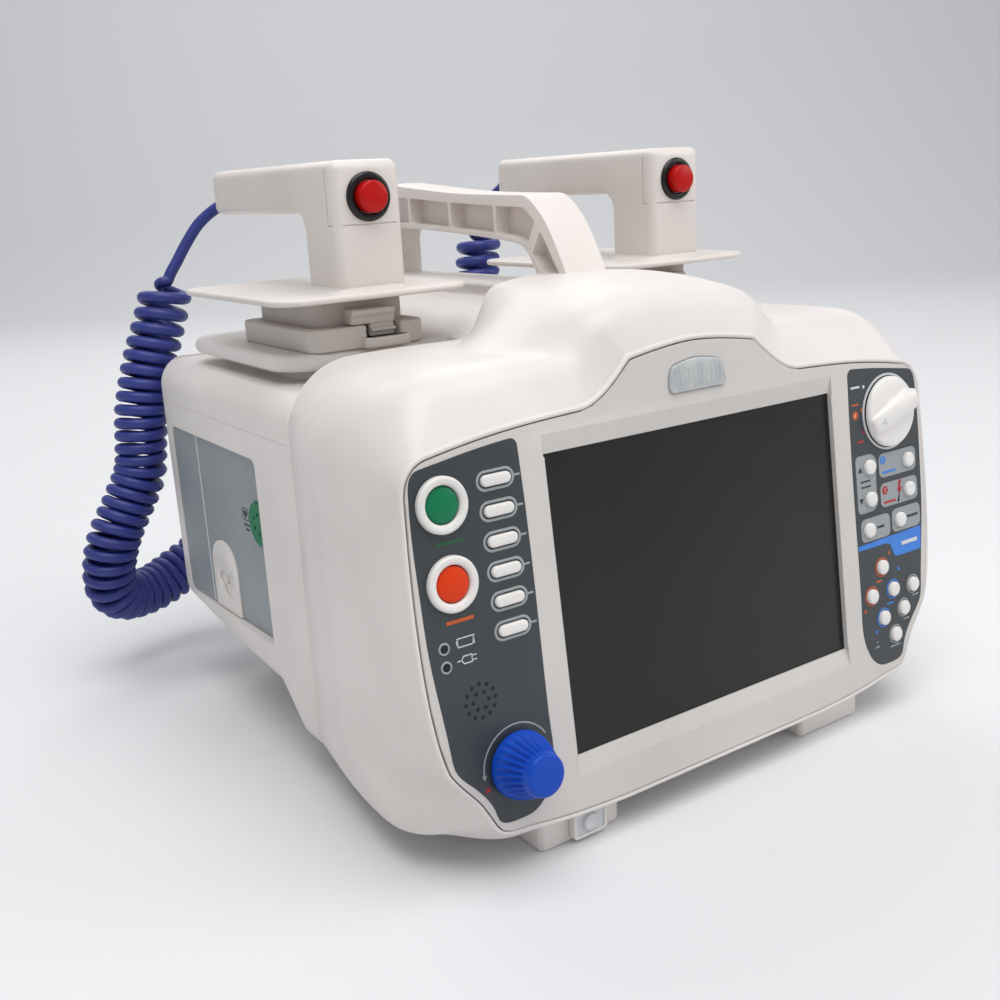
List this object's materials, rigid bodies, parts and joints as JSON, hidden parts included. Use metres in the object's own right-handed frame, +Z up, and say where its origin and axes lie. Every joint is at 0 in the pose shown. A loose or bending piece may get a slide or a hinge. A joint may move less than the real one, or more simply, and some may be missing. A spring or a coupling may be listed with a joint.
{
  "type": "defibrillator",
  "caption": "Portable defibrillator monitor with a leaning screen panel, keys, rotary knobs, a carry handle and lift-off paddles on curly cords.",
  "frame": {"origin": "on the surface that the feet stand on, under the middle of the object without its cords", "axes": "+Z up, +Y from the screen to the rear, +X to the right as the screen is faced"},
  "size_m": [0.3577, 0.37, 0.2873],
  "materials": {
    "case_plastic": "fine moulded texture",
    "bezel_plastic": "fine moulded texture",
    "tray_plastic": "fine moulded texture",
    "handle_plastic": "fine moulded texture",
    "paddle_plastic": "satin moulding",
    "overlay_film": "textured printed film",
    "screen_glass": "dark glossy window",
    "lens_plastic": "frosted translucent plastic",
    "key_plastic": "satin moulding",
    "green_plastic": "satin moulding",
    "orange_plastic": "satin moulding",
    "blue_plastic": "satin moulding",
    "red_plastic": "glossy moulding",
    "black_plastic": "satin moulding",
    "grey_plastic": "satin moulding",
    "socket_plastic": "fine moulded texture",
    "electrode_plastic": "satin moulding",
    "label_film": "printed film",
    "circuit_board": "solder mask",
    "battery_wrap": "shrink wrap",
    "metal_can": "satin",
    "screw_steel": "zinc plated",
    "cord_jacket": "satin polyurethane"
  },
  "bodies": {
    "root": {"front_shell": "case_plastic", "rear_shell": "case_plastic", "front_bezel": "bezel_plastic", "panel_overlays": "overlay_film", "display_window": "screen_glass", "lcd_module": "metal_can", "alarm_lens": "lens_plastic", "button_rings": "key_plastic", "rotary_switches": "black_plastic", "led_light_pipes": "lens_plastic", "speaker": "black_plastic", "key_boards": "circuit_board", "main_board": "circuit_board", "battery": "battery_wrap", "shock_capacitor": "metal_can", "feet": "case_plastic", "side_labels": "label_film", "ecg_socket": "green_plastic", "power_inlet": "key_plastic", "case_screws": "screw_steel", "paddle_tray": "tray_plastic", "carry_handle": "handle_plastic", "paddle_sockets": "socket_plastic", "cord_plugs": "black_plastic", "left_cord_coil": "cord_jacket", "right_cord_coil": "cord_jacket"},
    "left_paddle": {"left_paddle_shell": "paddle_plastic", "left_electrode_block": "electrode_plastic", "left_button_ring": "black_plastic", "left_cord_lead": "cord_jacket"},
    "left_paddle_button": {"left_paddle_button": "red_plastic"},
    "right_paddle": {"right_paddle_shell": "paddle_plastic", "right_electrode_block": "electrode_plastic", "right_button_ring": "black_plastic", "right_cord_lead": "cord_jacket"},
    "right_paddle_button": {"right_paddle_button": "red_plastic"},
    "print_button": {"print_button": "green_plastic"},
    "alarm_button": {"alarm_button": "orange_plastic"},
    "soft_key_1": {"soft_key_1": "key_plastic"},
    "soft_key_2": {"soft_key_2": "key_plastic"},
    "soft_key_3": {"soft_key_3": "key_plastic"},
    "soft_key_4": {"soft_key_4": "key_plastic"},
    "soft_key_5": {"soft_key_5": "key_plastic"},
    "soft_key_6": {"soft_key_6": "key_plastic"},
    "energy_up_key": {"energy_up_key": "key_plastic"},
    "energy_down_key": {"energy_down_key": "key_plastic"},
    "charge_key": {"charge_key": "key_plastic"},
    "shock_key": {"shock_key": "key_plastic"},
    "sync_key": {"sync_key": "key_plastic"},
    "ecg_key": {"ecg_key": "key_plastic"},
    "pacer_key_1": {"pacer_key_1": "key_plastic"},
    "pacer_key_2": {"pacer_key_2": "key_plastic"},
    "pacer_key_3": {"pacer_key_3": "key_plastic"},
    "pacer_key_4": {"pacer_key_4": "key_plastic"},
    "pacer_key_5": {"pacer_key_5": "key_plastic"},
    "pacer_key_6": {"pacer_key_6": "key_plastic"},
    "pacer_key_7": {"pacer_key_7": "key_plastic"},
    "encoder_knob": {"encoder_knob": "blue_plastic"},
    "mode_knob": {"mode_knob": "key_plastic"},
    "foot_latch": {"foot_latch": "grey_plastic"}
  },
  "joints": [
    {"name": "left_paddle_lift", "type": "slide", "parent": "root", "child": "left_paddle", "axis": [0, 0, 1], "range_m": [0, 0.04]},
    {"name": "left_shock_press", "type": "slide", "parent": "left_paddle", "child": "left_paddle_button", "axis": [0, 1, 0], "range_m": [0, 0.003], "stiffness_N_per_m": 900},
    {"name": "right_paddle_lift", "type": "slide", "parent": "root", "child": "right_paddle", "axis": [0, 0, 1], "range_m": [0, 0.04]},
    {"name": "right_shock_press", "type": "slide", "parent": "right_paddle", "child": "right_paddle_button", "axis": [0, 1, 0], "range_m": [0, 0.003], "stiffness_N_per_m": 900},
    {"name": "print_press", "type": "slide", "parent": "root", "child": "print_button", "axis": [0, 0.993, -0.1184], "range_m": [0, 0.0012], "stiffness_N_per_m": 900},
    {"name": "alarm_press", "type": "slide", "parent": "root", "child": "alarm_button", "axis": [0, 0.993, -0.1184], "range_m": [0, 0.0012], "stiffness_N_per_m": 900},
    {"name": "soft_press_1", "type": "slide", "parent": "root", "child": "soft_key_1", "axis": [0, 0.993, -0.1184], "range_m": [0, 0.0012], "stiffness_N_per_m": 900},
    {"name": "soft_press_2", "type": "slide", "parent": "root", "child": "soft_key_2", "axis": [0, 0.993, -0.1184], "range_m": [0, 0.0012], "stiffness_N_per_m": 900},
    {"name": "soft_press_3", "type": "slide", "parent": "root", "child": "soft_key_3", "axis": [0, 0.993, -0.1184], "range_m": [0, 0.0012], "stiffness_N_per_m": 900},
    {"name": "soft_press_4", "type": "slide", "parent": "root", "child": "soft_key_4", "axis": [0, 0.993, -0.1184], "range_m": [0, 0.0012], "stiffness_N_per_m": 900},
    {"name": "soft_press_5", "type": "slide", "parent": "root", "child": "soft_key_5", "axis": [0, 0.993, -0.1184], "range_m": [0, 0.0012], "stiffness_N_per_m": 900},
    {"name": "soft_press_6", "type": "slide", "parent": "root", "child": "soft_key_6", "axis": [0, 0.993, -0.1184], "range_m": [0, 0.0012], "stiffness_N_per_m": 900},
    {"name": "energy_up_press", "type": "slide", "parent": "root", "child": "energy_up_key", "axis": [0, 0.993, -0.1184], "range_m": [0, 0.0012], "stiffness_N_per_m": 900},
    {"name": "energy_down_press", "type": "slide", "parent": "root", "child": "energy_down_key", "axis": [0, 0.993, -0.1184], "range_m": [0, 0.0012], "stiffness_N_per_m": 900},
    {"name": "charge_press", "type": "slide", "parent": "root", "child": "charge_key", "axis": [0, 0.993, -0.1184], "range_m": [0, 0.0012], "stiffness_N_per_m": 900},
    {"name": "shock_press", "type": "slide", "parent": "root", "child": "shock_key", "axis": [0, 0.993, -0.1184], "range_m": [0, 0.0012], "stiffness_N_per_m": 900},
    {"name": "sync_press", "type": "slide", "parent": "root", "child": "sync_key", "axis": [0, 0.993, -0.1184], "range_m": [0, 0.0012], "stiffness_N_per_m": 900},
    {"name": "ecg_press", "type": "slide", "parent": "root", "child": "ecg_key", "axis": [0, 0.993, -0.1184], "range_m": [0, 0.0012], "stiffness_N_per_m": 900},
    {"name": "pacer_press_1", "type": "slide", "parent": "root", "child": "pacer_key_1", "axis": [0, 0.993, -0.1184], "range_m": [0, 0.0012], "stiffness_N_per_m": 900},
    {"name": "pacer_press_2", "type": "slide", "parent": "root", "child": "pacer_key_2", "axis": [0, 0.993, -0.1184], "range_m": [0, 0.0012], "stiffness_N_per_m": 900},
    {"name": "pacer_press_3", "type": "slide", "parent": "root", "child": "pacer_key_3", "axis": [0, 0.993, -0.1184], "range_m": [0, 0.0012], "stiffness_N_per_m": 900},
    {"name": "pacer_press_4", "type": "slide", "parent": "root", "child": "pacer_key_4", "axis": [0, 0.993, -0.1184], "range_m": [0, 0.0012], "stiffness_N_per_m": 900},
    {"name": "pacer_press_5", "type": "slide", "parent": "root", "child": "pacer_key_5", "axis": [0, 0.993, -0.1184], "range_m": [0, 0.0012], "stiffness_N_per_m": 900},
    {"name": "pacer_press_6", "type": "slide", "parent": "root", "child": "pacer_key_6", "axis": [0, 0.993, -0.1184], "range_m": [0, 0.0012], "stiffness_N_per_m": 900},
    {"name": "pacer_press_7", "type": "slide", "parent": "root", "child": "pacer_key_7", "axis": [0, 0.993, -0.1184], "range_m": [0, 0.0012], "stiffness_N_per_m": 900},
    {"name": "encoder_turn", "type": "hinge", "parent": "root", "child": "encoder_knob", "pos_m": [-0.1145, -0.1435, 0.05088], "axis": [0, 0.993, -0.1184], "continuous": true},
    {"name": "mode_turn", "type": "hinge", "parent": "root", "child": "mode_knob", "pos_m": [0.1257, -0.12604, 0.15515], "axis": [0, 0.993, -0.1184], "range_deg": [0, 70]},
    {"name": "foot_latch_slide", "type": "slide", "parent": "root", "child": "foot_latch", "axis": [1, 0, 0], "range_m": [0, 0.004]}
  ]
}
